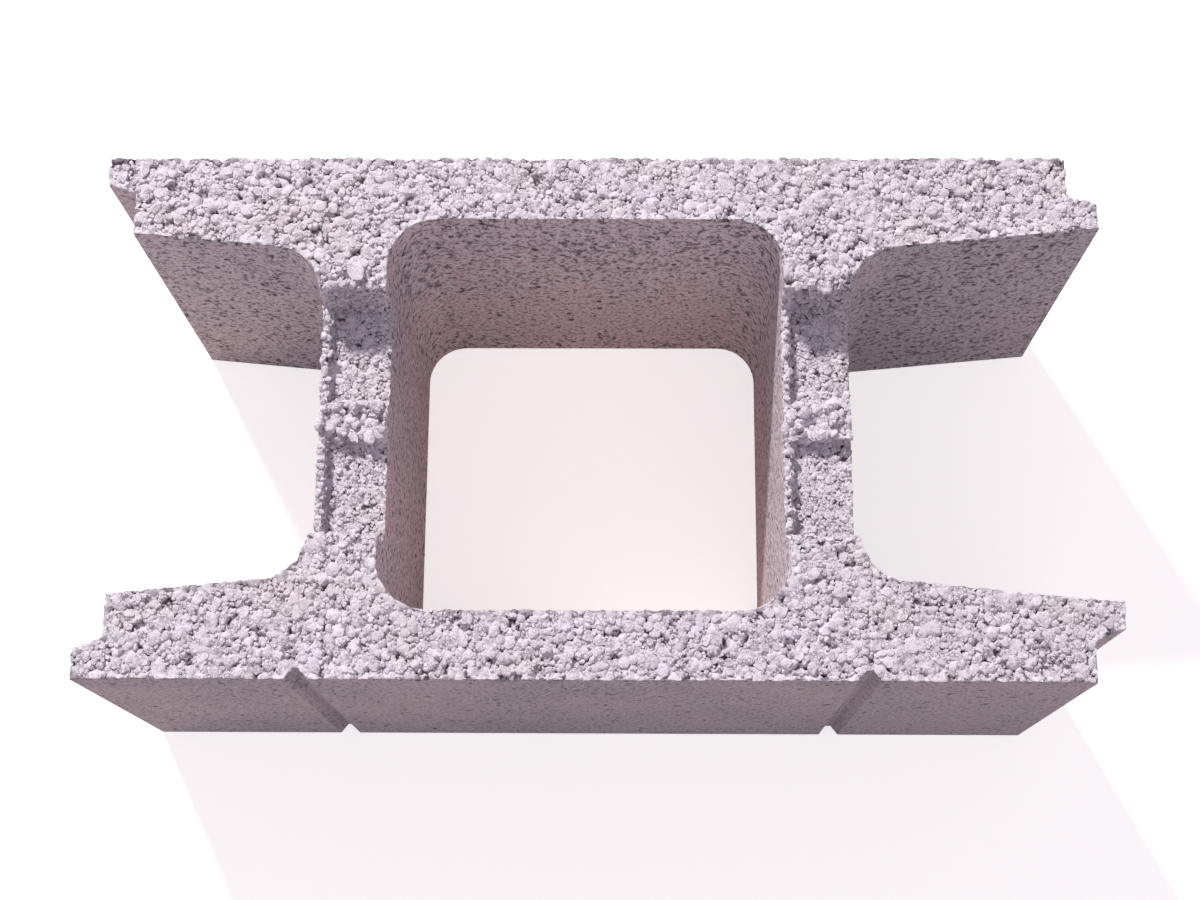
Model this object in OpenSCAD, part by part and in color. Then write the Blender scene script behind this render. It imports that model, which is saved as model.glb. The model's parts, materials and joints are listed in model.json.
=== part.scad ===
// Shuttering block of dry-cast concrete: two face shells tied by two webs, all one casting.
// Courses are laid dry, barred along the web saddles and filled with wet concrete.
// +X runs along the wall, -Y is the scored front face, +Z is up.
// The origin is under the middle of the block's box, on the bed it stands on.

/* [Block] */
// Laying length: what one block takes up along a course
lay_l = 500; // [460:5:600]
// Width across the wall
block_w = 275; // [250:5:350]
// Height of one course
block_h = 200; // [150:5:250]

/* [Shells and webs] */
// Clear length of the cavity between the webs, at the top
cavity_l = 204; // [160:1:230]
// Radius of the cavity's upright corners, at the top
cavity_r = 25; // [10:1:40]
// Thickness of a face shell beside the cavity, at the top
shell_t = 35; // [28:0.5:45]
// Thickness of a web, at the top
web_t = 35; // [28:0.5:45]
// Mould draft: how much nearer each core wall stands at the foot than at the top
draft = 2.5; // [0.5:0.1:4]

/* [Wings] */
// Thickness of a wing where the web's fillet ends, at the top
wing_root_t = 50; // [44:0.5:60]
// Angle in degrees by which a wing thins towards its tip
wing_slope = 5.5; // [0.5:0.5:7]
// Radius of the fillet between a web and a wing, at the top
bay_r = 25; // [15:1:32]

/* [End laps] */
// How far a tongue stands out past the shoulder beside it
lap_l = 15; // [8:0.5:20]
// Thickness of the outer tongue at its tip
tongue_tip_t = 15; // [12:0.5:17]
// Thickness of the outer tongue at its root
tongue_root_t = 21; // [18:0.5:24]
// Clearance that a rebate leaves beside the tongue of the next block
lap_gap = 5.5; // [2:0.5:8]

/* [Scored lines] */
// Width of a scored groove at the face
score_w = 11; // [7:0.5:14]
// Width of the groove's flat floor
score_floor_w = 3; // [1:0.5:6]
// Depth of the groove
score_d = 5; // [3:0.5:8]

/* [Web saddles] */
// Length of a saddle along its web, at the top
saddle_l = 130; // [100:1:140]
// Depth of the saddle to the top of its rib and lip
saddle_d = 21; // [10:1:40]
// Further depth of the two bar seats pressed into the saddle
seat_d = 7; // [3:0.5:14]
// How much nearer the end walls and rib flanks stand at the seat floor, each side
saddle_lean = 3; // [0.5:0.5:6]
// Width of the rib left between the two bar seats, at its top
rib_w = 18; // [10:1:26]
// Thickness of the lip left along the seats on the -X side of each web
lip_t = 3.5; // [2:0.5:6]

/* [Hidden] */
$fn = 96;
concrete = [0.80, 0.77, 0.78];
// Every cut runs this far past the faces that it opens
over = 5;

// The inner tongues stand out past the right end, so the laid block sits left of the box's middle
lay_shift = -lap_l / 2;
end_x = lay_l / 2;
face_y = block_w / 2;

// Upright axes of the cavity's corners
cavity_x = cavity_l / 2 - cavity_r;
cavity_y = face_y - shell_t - cavity_r;

// Upright axes of the fillets in the open bay at each end
web_out_x = cavity_l / 2 + web_t;
bay_x = web_out_x + bay_r;
bay_y = face_y - wing_root_t - bay_r * cos(wing_slope);

// The scored lines stand where the outer faces of the webs meet the bed
score_x = web_out_x + draft;

// Levels of the saddle
rib_z = block_h - saddle_d;
seat_z = rib_z - seat_d;

// Distance of a drafted wall from its corner axis, at height z
function drafted(top_reach, z) = top_reach - draft * (block_h - z) / block_h;

// Half length of the saddle at height z, between its leaning end walls
function saddle_half(z) = saddle_l / 2 - saddle_lean * (block_h - z) / (block_h - seat_z);

// Extrudes a section drawn in Y and Z along +X
module along_x(run) {
    rotate([90, 0, 90]) linear_extrude(height = run) children();
}

// Upright cone that rounds a corner of a core and carries its draft
module core_corner(r) {
    translate([0, 0, -over])
        cylinder(h = block_h + 2 * over, r1 = drafted(r, -over), r2 = drafted(r, block_h + over));
}

// Slab of a core along +X: its drafted wall faces +Y at the given reach, its plain side lies behind
module core_wall(reach, run, behind) {
    along_x(run) polygon([
        [-behind, -over],
        [drafted(reach, -over), -over],
        [drafted(reach, block_h + over), block_h + over],
        [-behind, block_h + over]
    ]);
}

// Core of the closed cavity between the webs
module cavity_core() {
    for (turn = [0, 180]) rotate(turn) {
        translate([-cavity_x, cavity_y, 0]) core_wall(cavity_r, 2 * cavity_x, 2 * cavity_y);
        translate([cavity_x, -cavity_y, 0]) rotate(-90) translate([-2 * cavity_y, 0, 0])
            core_wall(cavity_r, 2 * cavity_y, 2 * cavity_x);
        for (y = [-cavity_y, cavity_y]) translate([cavity_x, y, 0]) core_corner(cavity_r);
    }
}

// Core of the open bay between the wings at the right end
module bay_core() {
    translate([bay_x, -bay_y, 0]) rotate(90) core_wall(bay_r, 2 * bay_y, lay_l);
    for (side = [0, 1]) mirror([0, side, 0]) translate([bay_x, bay_y, 0]) {
        core_corner(bay_r);
        rotate(wing_slope) core_wall(bay_r, lay_l, bay_y);
    }
}

// Plan of the block without its hollows: outer tongues on the left end, inner ones on the right
module lapped_plan() {
    front = [
        [-end_x + lap_l, -face_y + tongue_root_t],
        [-end_x, -face_y + tongue_tip_t],
        [-end_x, -face_y],
        [end_x, -face_y],
        [end_x, -face_y + tongue_tip_t + lap_gap],
        [end_x + lap_l, -face_y + tongue_root_t + lap_gap]
    ];
    back = [for (i = [len(front) - 1 : -1 : 0]) [front[i].x, -front[i].y]];
    polygon(concat(front, back));
}

// Upright groove scored into the front face, drawn on that face
module score_cut() {
    translate([0, 0, -over]) linear_extrude(height = block_h + 2 * over) polygon([
        [-score_w / 2, -over],
        [score_w / 2, -over],
        [score_w / 2, 0],
        [score_floor_w / 2, score_d],
        [-score_floor_w / 2, score_d],
        [-score_w / 2, 0]
    ]);
}

// Pressed top of one web, drawn from the web's -X face: a saddle with two bar seats either side of a rib
module saddle_cut() {
    mouth_z = block_h + over;
    rib_foot = rib_w / 2 + saddle_half(rib_z) - saddle_half(seat_z);
    translate([-bay_r, 0, 0]) along_x(web_t + 2 * bay_r) polygon([
        [-saddle_half(rib_z), rib_z],
        [saddle_half(rib_z), rib_z],
        [saddle_half(mouth_z), mouth_z],
        [-saddle_half(mouth_z), mouth_z]
    ]);
    for (side = [0, 1]) mirror([0, side, 0]) translate([lip_t, 0, 0]) along_x(web_t - lip_t + bay_r) polygon([
        [rib_foot, seat_z],
        [saddle_half(seat_z), seat_z],
        [saddle_half(rib_z), rib_z],
        [rib_w / 2, rib_z]
    ]);
}

// The whole casting
module block() {
    color(concrete) translate([lay_shift, 0, 0]) difference() {
        linear_extrude(height = block_h) lapped_plan();
        cavity_core();
        for (end = [0, 1]) mirror([end, 0, 0]) bay_core();
        for (x = [-score_x, score_x]) translate([x, -face_y, 0]) score_cut();
        for (x = [-web_out_x, cavity_l / 2]) translate([x, 0, 0]) saddle_cut();
    }
}

block();
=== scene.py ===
"""Looks of a dry-cast concrete shuttering block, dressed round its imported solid.

The casting is one closed piece. Its mould faces stay where the solid has them, pricked by air pores. Its
tamped top, the saddles of its webs and the arrises beside them are cut fine and carry packed grains as
relief. Three pieces model those grains once more, each a closed shape over its own rise, and a last
piece holds the loose grains that lie in the saddles and along the lips.
"""

import json
import logging
import math
from dataclasses import dataclass, field
from enum import Enum
from functools import partial
from typing import Any, Callable, Iterable, Sequence

import bmesh
import bpy
import numpy as np
from mathutils import Matrix, Vector, noise
from mathutils.kdtree import KDTree
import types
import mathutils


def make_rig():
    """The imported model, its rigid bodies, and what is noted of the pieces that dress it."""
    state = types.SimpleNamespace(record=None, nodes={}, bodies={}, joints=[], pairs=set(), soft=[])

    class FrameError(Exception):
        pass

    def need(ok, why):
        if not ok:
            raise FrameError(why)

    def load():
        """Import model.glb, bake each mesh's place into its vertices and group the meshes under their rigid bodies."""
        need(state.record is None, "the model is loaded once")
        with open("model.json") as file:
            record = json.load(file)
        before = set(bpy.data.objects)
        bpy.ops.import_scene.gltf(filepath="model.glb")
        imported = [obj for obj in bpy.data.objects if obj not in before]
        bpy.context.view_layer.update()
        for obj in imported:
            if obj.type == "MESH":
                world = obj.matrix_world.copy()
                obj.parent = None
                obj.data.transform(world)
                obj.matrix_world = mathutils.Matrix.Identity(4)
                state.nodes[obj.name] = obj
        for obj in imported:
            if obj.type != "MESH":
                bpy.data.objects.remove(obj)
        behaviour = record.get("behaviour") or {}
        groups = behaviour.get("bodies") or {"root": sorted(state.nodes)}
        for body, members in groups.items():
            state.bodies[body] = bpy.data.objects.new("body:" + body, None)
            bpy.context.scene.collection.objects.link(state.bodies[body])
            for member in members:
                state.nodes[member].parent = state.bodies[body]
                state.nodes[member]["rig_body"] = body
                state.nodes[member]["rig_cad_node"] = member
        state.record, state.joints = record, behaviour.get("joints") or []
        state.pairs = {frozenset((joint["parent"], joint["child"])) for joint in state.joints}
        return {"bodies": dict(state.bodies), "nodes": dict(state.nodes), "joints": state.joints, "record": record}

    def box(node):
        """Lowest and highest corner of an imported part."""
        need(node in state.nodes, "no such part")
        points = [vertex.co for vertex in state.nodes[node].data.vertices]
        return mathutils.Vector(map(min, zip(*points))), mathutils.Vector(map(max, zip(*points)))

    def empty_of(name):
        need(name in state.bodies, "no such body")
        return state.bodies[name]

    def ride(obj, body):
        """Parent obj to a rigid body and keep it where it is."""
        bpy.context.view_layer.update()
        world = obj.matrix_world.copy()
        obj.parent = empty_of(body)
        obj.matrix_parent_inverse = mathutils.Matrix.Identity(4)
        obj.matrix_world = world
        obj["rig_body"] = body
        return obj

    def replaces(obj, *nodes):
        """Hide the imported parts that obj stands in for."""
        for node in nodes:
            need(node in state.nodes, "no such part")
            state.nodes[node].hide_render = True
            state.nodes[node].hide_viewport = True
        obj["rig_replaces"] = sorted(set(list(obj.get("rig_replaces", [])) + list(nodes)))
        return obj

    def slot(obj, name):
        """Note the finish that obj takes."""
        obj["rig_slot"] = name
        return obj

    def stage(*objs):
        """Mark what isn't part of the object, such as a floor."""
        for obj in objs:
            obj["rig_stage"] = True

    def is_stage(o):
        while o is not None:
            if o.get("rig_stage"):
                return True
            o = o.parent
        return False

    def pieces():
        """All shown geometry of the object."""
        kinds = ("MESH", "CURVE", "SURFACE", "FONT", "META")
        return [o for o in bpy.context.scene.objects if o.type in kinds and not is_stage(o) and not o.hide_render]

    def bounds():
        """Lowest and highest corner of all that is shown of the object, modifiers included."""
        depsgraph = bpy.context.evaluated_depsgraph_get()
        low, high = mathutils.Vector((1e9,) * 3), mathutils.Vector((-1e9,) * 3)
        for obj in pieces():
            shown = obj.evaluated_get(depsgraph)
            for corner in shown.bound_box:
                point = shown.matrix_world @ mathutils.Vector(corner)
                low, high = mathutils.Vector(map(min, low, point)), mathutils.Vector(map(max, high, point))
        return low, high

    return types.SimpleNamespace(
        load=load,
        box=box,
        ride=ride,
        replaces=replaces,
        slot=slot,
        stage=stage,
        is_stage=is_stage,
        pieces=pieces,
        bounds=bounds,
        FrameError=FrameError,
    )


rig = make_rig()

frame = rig.load()
CAD_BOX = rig.bounds()

Pair = tuple[float, float]

MM = 0.001
SIZE_FILE = "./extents.json"
log = logging.getLogger("shuttering_block")


# Small tools


def linear(code: str) -> tuple[float, float, float, float]:
    """Turns an sRGB hex colour to the linear one that shaders take.

    Args:
        code: Colour as "#RRGGBB".

    Returns:
        Linear red, green and blue, and a full alpha.
    """
    parts = [int(code[i:i + 2], 16) / 255 for i in (1, 3, 5)]
    red, green, blue = (c / 12.92 if c <= 0.04045 else ((c + 0.055) / 1.055) ** 2.4 for c in parts)
    return red, green, blue, 1.0


def repeats(size_mm: float) -> float:
    """Gives the texture scale at which one repeat measures size_mm on Object coordinates in metres."""
    return 1.0 / (size_mm * MM)


def add_node(
    tree: bpy.types.NodeTree,
    kind: str,
    links: dict[str | int, bpy.types.NodeSocket] | None = None,
    values: dict[str | int, Any] | None = None,
    **settings: Any,
) -> bpy.types.Node:
    """Adds one node with its settings, values and incoming links.

    Args:
        tree: Node tree that gets the node.
        kind: Node type, without its prefix ShaderNode.
        links: Output socket to link, by input name or number.
        values: Value to set, by input name or number.
        settings: Attributes of the node itself.

    Returns:
        The new node.
    """
    node = tree.nodes.new("ShaderNode" + kind)
    for name, value in settings.items():
        setattr(node, name, value)
    for name, value in (values or {}).items():
        node.inputs[name].default_value = value
    for name, socket in (links or {}).items():
        tree.links.new(socket, node.inputs[name])
    return node


def node_adder(owner: bpy.types.Material | bpy.types.World) -> Callable[..., bpy.types.Node]:
    """Empties a node tree.

    Args:
        owner: Material or world that the tree belongs to.

    Returns:
        The function that adds a node to the tree.
    """
    owner.use_nodes = True
    owner.node_tree.nodes.clear()
    return partial(add_node, owner.node_tree)


def seen_rays(add: Callable[..., bpy.types.Node]) -> bpy.types.NodeSocket:
    """Adds the test for the rays that show the background.

    Args:
        add: Function that adds a node.

    Returns:
        Socket that is 1 for rays from the camera, or that come by way of metal or glass.
    """
    path = add("LightPath").outputs
    seen = add("Math", {0: path["Is Camera Ray"], 1: path["Is Glossy Ray"]}, operation="MAXIMUM")
    return add("Math", {0: seen.outputs[0], 1: path["Is Transmission Ray"]}, operation="MAXIMUM").outputs[0]


def make_active(piece: bpy.types.Object) -> None:
    """Leaves one object selected and active.

    Args:
        piece: The object.
    """
    bpy.ops.object.select_all(action="DESELECT")
    piece.select_set(True)
    bpy.context.view_layer.objects.active = piece


def take_active() -> tuple[np.ndarray, np.ndarray]:
    """Removes the active object but keeps its shape.

    Returns:
        Its corners, and its faces as rows of corners.
    """
    shape = bpy.context.view_layer.objects.active
    corners = np.array([v.co for v in shape.data.vertices])
    faces = np.array([list(f.vertices) for f in shape.data.polygons])
    bpy.data.objects.remove(shape)
    return corners, faces


def new_object(name: str, corners: np.ndarray, faces: np.ndarray) -> bpy.types.Object:
    """Makes a mesh object.

    Args:
        name: Name of the object and of its mesh.
        corners: Places of the corners in millimetres.
        faces: Faces as rows of corners.

    Returns:
        The new object.
    """
    mesh = bpy.data.meshes.new(name)
    mesh.from_pydata((corners * MM).tolist(), [], faces.tolist())
    made = bpy.data.objects.new(name, mesh)
    bpy.context.scene.collection.objects.link(made)
    return made


def write_values(mesh: bpy.types.Mesh, **values: np.ndarray) -> None:
    """Writes a number for each corner of a mesh, under each name that a finish reads."""
    for name, numbers in values.items():
        mesh.attributes.new(name, "FLOAT", "POINT").data.foreach_set("value", numbers.astype(np.float32))


def hand_in(piece: bpy.types.Object, smooth_deg: float) -> None:
    """Smooths a piece, and puts it on the block's body and in its concrete.

    Args:
        piece: The piece.
        smooth_deg: Angle in degrees up to which its edges are smoothed.
    """
    make_active(piece)
    bpy.ops.object.shade_smooth_by_angle(angle=math.radians(smooth_deg))
    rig.ride(piece, "root")
    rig.slot(piece, "concrete")


def tree_of(spots: Iterable[Sequence[float]], first: int = 0) -> KDTree:
    """Sorts spots by place, so that the nearest are found fast.

    Args:
        spots: Places.
        first: Number of the first spot, from which the others count on.

    Returns:
        The sorted tree.
    """
    spots = list(spots)
    tree = KDTree(len(spots))
    for i, spot in enumerate(spots, first):
        tree.insert(spot, i)
    tree.balance()
    return tree


# Finishes


@dataclass(frozen=True)
class TampedBed:
    """Tamped face of dry-cast concrete: cement-coated grains under dry, matt, pale lilac-grey paste."""

    name: str = "dry_cast_concrete_tamped_bed"
    paste: str = "#ECE4EA"
    dull_paste: str = "#DFD6DC"
    warm_paste: str = "#E6D7D8"
    # Colour of the dark sand specks, and of the painted shade down the gaps and cracks
    gap: str = "#43383E"
    sand_mm: float = 0.8
    crumb_mm: float = 1.9
    crack_mm: float = 0.32
    loose_mm: float = 4.94
    stain_mm: float = 38.0
    sand_depth_mm: float = 0.26
    crumb_depth_mm: float = 0.4
    roughness: float = 0.93

    def build(self) -> bpy.types.Material:
        """Builds the material.

        Returns:
            Material that reads the mesh's attributes "gap" and "tint".
        """
        material = bpy.data.materials.new(self.name)
        add = node_adder(material)
        place = add("TexCoord").outputs["Object"]
        tint = add("Attribute", attribute_name="tint").outputs["Fac"]
        gap = add("Attribute", attribute_name="gap").outputs["Fac"]

        # Each grain has its own paleness, as its coat of paste is thicker or thinner.
        coat = add("Mix", {0: tint}, {6: linear(self.dull_paste), 7: linear(self.paste)},
                   data_type="RGBA").outputs[2]
        stain = add("TexNoise", {"Vector": place},
                    {"Scale": repeats(self.stain_mm), "Detail": 3.0}).outputs["Fac"]
        stained = add("MapRange", {"Value": stain},
                      {"From Min": 0.5, "From Max": 0.75, "To Max": 0.6}).outputs["Result"]
        coat = add("Mix", {0: stained, 6: coat}, {7: linear(self.warm_paste)}, data_type="RGBA").outputs[2]

        # Sand in the paste, drawn a little coarse so that it shows.
        sand = add("TexNoise", {"Vector": place}, {"Scale": repeats(self.sand_mm), "Detail": 2.0})
        sandy = add("MapRange", {"Value": sand.outputs["Fac"]},
                    {"From Min": 0.54, "From Max": 0.28, "To Max": 0.25}).outputs["Result"]
        coat = add("Mix", {0: sandy, 6: coat}, {7: linear(self.gap)}, data_type="RGBA").outputs[2]

        # Crumbs finer than the modelled grains, with bent outlines, and painted shade in the cracks between some of
        # them.
        bend = add("TexNoise", {"Vector": place}, {"Scale": repeats(self.crumb_mm)})
        bend = add("VectorMath", {0: bend.outputs["Color"]}, {1: (0.5, 0.5, 0.5)}, operation="SUBTRACT")
        bend = add("VectorMath", {0: bend.outputs["Vector"]},
                   {"Scale": self.crumb_mm * MM}, operation="SCALE")
        bent = add("VectorMath", {0: place, 1: bend.outputs["Vector"]}, operation="ADD").outputs["Vector"]
        crumb = add("TexVoronoi", {"Vector": bent}, {"Scale": repeats(self.crumb_mm)})
        rim = add("TexVoronoi", {"Vector": bent}, {"Scale": repeats(self.crumb_mm)},
                  feature="DISTANCE_TO_EDGE")
        crack_shade = add("MapRange", {"Value": rim.outputs["Distance"]},
                    {"From Min": self.crack_mm / self.crumb_mm, "From Max": 0.0},
                    interpolation_type="SMOOTHSTEP").outputs["Result"]
        loose = add("TexNoise", {"Vector": place}, {"Scale": repeats(self.loose_mm)})
        loose = add("MapRange", {"Value": loose.outputs["Fac"]},
                    {"From Min": 0.4, "From Max": 0.66, "To Max": 0.7}).outputs["Result"]
        crack_shade = add("Math", {0: crack_shade, 1: loose}, operation="MULTIPLY").outputs[0]

        # Painted shade: the gaps between the grains are darkened for the light that doesn't reach down them, and
        # partly for a darker, unwashed paste.
        deep = add("MapRange", {"Value": gap}, {"From Min": 0.25, "From Max": 1.0, "To Max": 0.9},
                   interpolation_type="SMOOTHSTEP").outputs["Result"]
        dark = add("Math", {0: deep, 1: crack_shade}, operation="MAXIMUM").outputs[0]
        colour = add("Mix", {0: dark, 6: coat}, {7: linear(self.gap)}, data_type="RGBA").outputs[2]
        lumps = add("Bump", {"Height": crumb.outputs["Distance"]},
                    {"Strength": 0.6, "Distance": self.crumb_depth_mm * MM}, invert=True)
        bump = add("Bump", {"Height": sand.outputs["Fac"], "Normal": lumps.outputs["Normal"]},
                   {"Strength": 0.6, "Distance": self.sand_depth_mm * MM}).outputs["Normal"]
        shader = add("BsdfPrincipled", {"Base Color": colour, "Normal": bump},
                     {"Roughness": self.roughness, "Specular IOR Level": 0.2})
        add("OutputMaterial", {"Surface": shader.outputs["BSDF"]})
        return material


@dataclass(frozen=True)
class MouldFace:
    """Face of dry-cast concrete drawn along a steel mould: close sandy paste, pitted and pricked."""

    name: str = "dry_cast_concrete_mould_face"
    warm: str = "#C9BEC2"
    cool: str = "#C3BDC4"
    pale: str = "#D8D2D7"
    # Colour of the dark sand specks, and of the painted shade in the pits and pores
    pore: str = "#3A3034"
    broad_mm: float = 70.0
    cloud_mm: float = 11.0
    sand_mm: float = 2.1
    pit_mm: float = 3.6
    pit_change: float = 0.05
    pore_cell_mm: float = 8.5
    pore_radius_mm: Pair = (0.7, 2.1)
    pore_rim_mm: float = 0.6
    pore_depth_mm: float = 1.2
    pit_depth_mm: float = 0.5
    sand_depth_mm: float = 0.14
    openness: float = 0.96
    sand_shares: Pair = (0.8, 0.75)
    roughness: float = 0.88

    def build(self) -> bpy.types.Material:
        """Builds the material.

        Returns:
            Material on Object coordinates, with sand, pits and pores.
        """
        material = bpy.data.materials.new(self.name)
        add = node_adder(material)
        place = add("TexCoord").outputs["Object"]

        # Broad patches where the mould left more or less fines.
        broad = add("TexNoise", {"Vector": place},
                    {"Scale": repeats(self.broad_mm), "Detail": 3.0}).outputs["Fac"]
        patch = add("MapRange", {"Value": broad}, {"From Min": 0.35, "From Max": 0.65}).outputs["Result"]
        base = add("Mix", {0: patch}, {6: linear(self.cool), 7: linear(self.warm)},
                   data_type="RGBA").outputs[2]
        cloud = add("TexNoise", {"Vector": place},
                    {"Scale": repeats(self.cloud_mm), "Detail": 4.0}).outputs["Fac"]
        cloudy = add("MapRange", {"Value": cloud},
                     {"From Min": 0.48, "From Max": 0.78, "To Max": 0.4}).outputs["Result"]
        base = add("Mix", {0: cloudy, 6: base}, {7: linear(self.pale)}, data_type="RGBA").outputs[2]

        # Sand that shows pale or dark through the skin of paste, drawn coarse enough to show.
        most_pale, most_dark = (share * self.openness for share in self.sand_shares)
        sand = add("TexNoise", {"Vector": place},
                   {"Scale": repeats(self.sand_mm), "Detail": 2.0, "Roughness": 0.6}).outputs["Fac"]
        pale_sand = add("MapRange", {"Value": sand},
                        {"From Min": 0.5, "From Max": 0.68, "To Max": most_pale}).outputs["Result"]
        base = add("Mix", {0: pale_sand, 6: base}, {7: linear(self.pale)}, data_type="RGBA").outputs[2]
        dark_sand = add("MapRange", {"Value": sand},
                        {"From Min": 0.49, "From Max": 0.3, "To Max": most_dark}).outputs["Result"]

        # Pits that wander between the stones against the mould, fewer where fines closed it, and air pores; both are
        # darkened as painted shade and sunk by bump.
        pit = add("TexNoise", {"Vector": place},
                  {"Scale": repeats(self.pit_mm), "Detail": 3.0, "Roughness": 0.6})
        closed = add("Math", {0: patch, 2: pit.outputs["Fac"]}, {1: self.pit_change},
                     operation="MULTIPLY_ADD").outputs[0]
        pits = add("MapRange", {"Value": closed},
                   {"From Min": 0.495, "From Max": 0.375, "To Max": 0.8 * self.openness},
                   interpolation_type="SMOOTHSTEP").outputs["Result"]
        stray = add("VectorMath", {0: pit.outputs["Color"]},
                    {"Scale": 0.9 * self.pit_mm * MM}, operation="SCALE").outputs["Vector"]
        ragged = add("VectorMath", {0: place, 1: stray}, operation="ADD").outputs["Vector"]
        cells = add("TexVoronoi", {"Vector": ragged}, {"Scale": repeats(self.pore_cell_mm)})
        split = add("SeparateColor", {"Color": cells.outputs["Color"]})
        least, most = (radius / self.pore_cell_mm for radius in self.pore_radius_mm)
        reach = add("MapRange", {"Value": split.outputs["Red"]},
                    {"From Min": 0.3, "To Min": least, "To Max": most})
        inside = add("Math", {0: reach.outputs["Result"], 1: cells.outputs["Distance"]},
                     operation="SUBTRACT")
        pores = add("MapRange", {"Value": inside.outputs[0]},
                    {"From Max": self.pore_rim_mm / self.pore_cell_mm, "To Max": 0.9 * self.openness},
                    interpolation_type="SMOOTHSTEP").outputs["Result"]

        # Dark sand is the face's own colour; the darkening of the pits and pores is painted shade.
        dark = add("Math", {0: dark_sand, 1: pits}, operation="MAXIMUM").outputs[0]
        dark = add("Math", {0: dark, 1: pores}, operation="MAXIMUM").outputs[0]
        colour = add("Mix", {0: dark, 6: base}, {7: linear(self.pore)}, data_type="RGBA").outputs[2]
        bump = add("Bump", {"Height": sand},
                   {"Strength": 0.8, "Distance": self.sand_depth_mm * MM}).outputs["Normal"]
        for hollow, depth in ((pits, self.pit_depth_mm), (pores, self.pore_depth_mm)):
            bump = add("Bump", {"Height": hollow, "Normal": bump},
                       {"Strength": 0.8, "Distance": depth * MM}, invert=True).outputs["Normal"]
        shader = add("BsdfPrincipled", {"Base Color": colour, "Normal": bump},
                     {"Roughness": self.roughness, "Specular IOR Level": 0.25})
        add("OutputMaterial", {"Surface": shader.outputs["BSDF"]})
        return material


# The outer faces are closer, and darker as painted shade.
OUTER_FACE_PAINTED_SHADE = MouldFace(
    name="dry_cast_concrete_outer_face", warm="#BCB1B6", cool="#B4ADB4", pale="#C9C4C9",
    sand_mm=1.7, pit_mm=2.7, openness=0.75,
)

# The walls of the cavity are the palest and warmest, as painted light for the warm light bounced round the cavity.
CAVITY_FACE_PAINTED_LIGHT = MouldFace(
    name="dry_cast_concrete_cavity_face", warm="#E6D0D2", cool="#DED0D5", pale="#EEE6E9",
)


@dataclass(frozen=True)
class PaleFloor:
    """Matt white studio paper: it shows white, keeps a soft shadow and throws a warm light back up."""

    name: str = "matt_white_paper"
    paper: str = "#F0E6E2"
    bounce: str = "#F5DED5"
    lift: float = 0.64

    def build(self) -> bpy.types.Material:
        """Builds the material.

        Returns:
            Diffuse paper, with a plainer white and a lift that only the camera and mirror rays see.
        """
        material = bpy.data.materials.new(self.name)
        add = node_adder(material)
        seen = seen_rays(add)
        lift = add("Math", {0: seen}, {1: self.lift}, operation="MULTIPLY")
        glow = add("Emission", {"Strength": lift.outputs[0]})
        colour = add("Mix", {0: seen}, {6: linear(self.bounce), 7: linear(self.paper)}, data_type="RGBA")
        paper = add("BsdfDiffuse", {"Color": colour.outputs[2]})
        both = add("AddShader", {0: paper.outputs[0], 1: glow.outputs[0]})
        add("OutputMaterial", {"Surface": both.outputs[0]})
        return material


# The block's own places


class Zone(Enum):
    """Parts of the tamped top, each pressed in its own way."""

    BED = "bed"
    SEAT = "seat"
    RIB = "rib"
    LIP = "lip"
    END = "end"


@dataclass(frozen=True)
class Places:
    """Where the solid's faces lie, in millimetres, and how far from them things count as beside them."""

    top_z: float = 200.0
    top_near: float = 0.5
    top_under: float = 1.0
    rib_z: float = 179.0
    seat_z: float = 172.0
    seat_under: float = 5.0
    webs_x: tuple[Pair, ...] = ((-144.5, -109.5), (94.5, 129.5))
    web_inside: float = 0.05
    lip_t: float = 3.5
    lip_near: Pair = (1.0, 0.3)
    saddle_y: float = 65.0
    saddle_near: float = 0.5
    saddle_round: float = 70.0
    web_round: float = 6.0
    rib_y: float = 9.8
    band: float = 4.0
    band_near: float = 0.5
    steep: float = 0.5
    outer_y: float = 132.0
    cavity_x: float = -7.5
    cavity_half: Pair = (105.0, 106.0)
    half_plan: Pair = (257.4, 137.4)
    flat_stone: Pair = (-126.0, 75.0)

    def zone(self, spot: Sequence[float], up: float) -> Zone:
        """Names the part of the tamped top that a spot is on.

        Args:
            spot: Place in millimetres.
            up: Upward part of the face's normal there.

        Returns:
            The zone.
        """
        x, y, z = spot
        if z > self.top_z - self.top_near or abs(y) > self.saddle_y + self.saddle_near:
            return Zone.BED
        if abs(y) < self.rib_y:
            return Zone.RIB
        before, past = self.lip_near
        if any(left - before < x < left + self.lip_t + past for left, _ in self.webs_x):
            return Zone.LIP
        return Zone.SEAT if up > self.steep else Zone.END

    def is_cavity(self, spot: Sequence[float]) -> bool:
        """Tells whether a mould face at the spot lines the cavity."""
        return abs(spot[0] - self.cavity_x) < self.cavity_half[0] and abs(spot[1]) < self.cavity_half[1]

    def is_tamped(self, spot: Sequence[float], up: float) -> bool:
        """Tells whether a face belongs to the tamped top.

        Args:
            spot: The face's middle in millimetres.
            up: Upward part of its normal.

        Returns:
            Whether it does.
        """
        x, y, z = spot
        in_saddle = abs(y) < self.saddle_y + self.saddle_near
        if up > self.steep:
            return z > self.top_z - self.top_under or z > self.seat_z - self.seat_under and in_saddle
        in_web = any(left + self.web_inside < x < right - self.web_inside for left, right in self.webs_x)
        return in_web and in_saddle and z > self.seat_z and up > -self.steep

    def is_band(self, spot: Sequence[float], up: float) -> bool:
        """Tells whether a face is in the strip of wall just under a tamped edge.

        Args:
            spot: The face's middle in millimetres.
            up: Upward part of its normal.

        Returns:
            Whether it is.
        """
        x, y, z = spot
        if abs(up) > self.steep:
            return False
        if z > self.top_z - self.band:
            return True
        beside = any(left - self.web_round < x < right + self.web_round for left, right in self.webs_x)
        return beside and abs(y) < self.saddle_round and z > self.seat_z - self.band


PLACES = Places()


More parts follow.
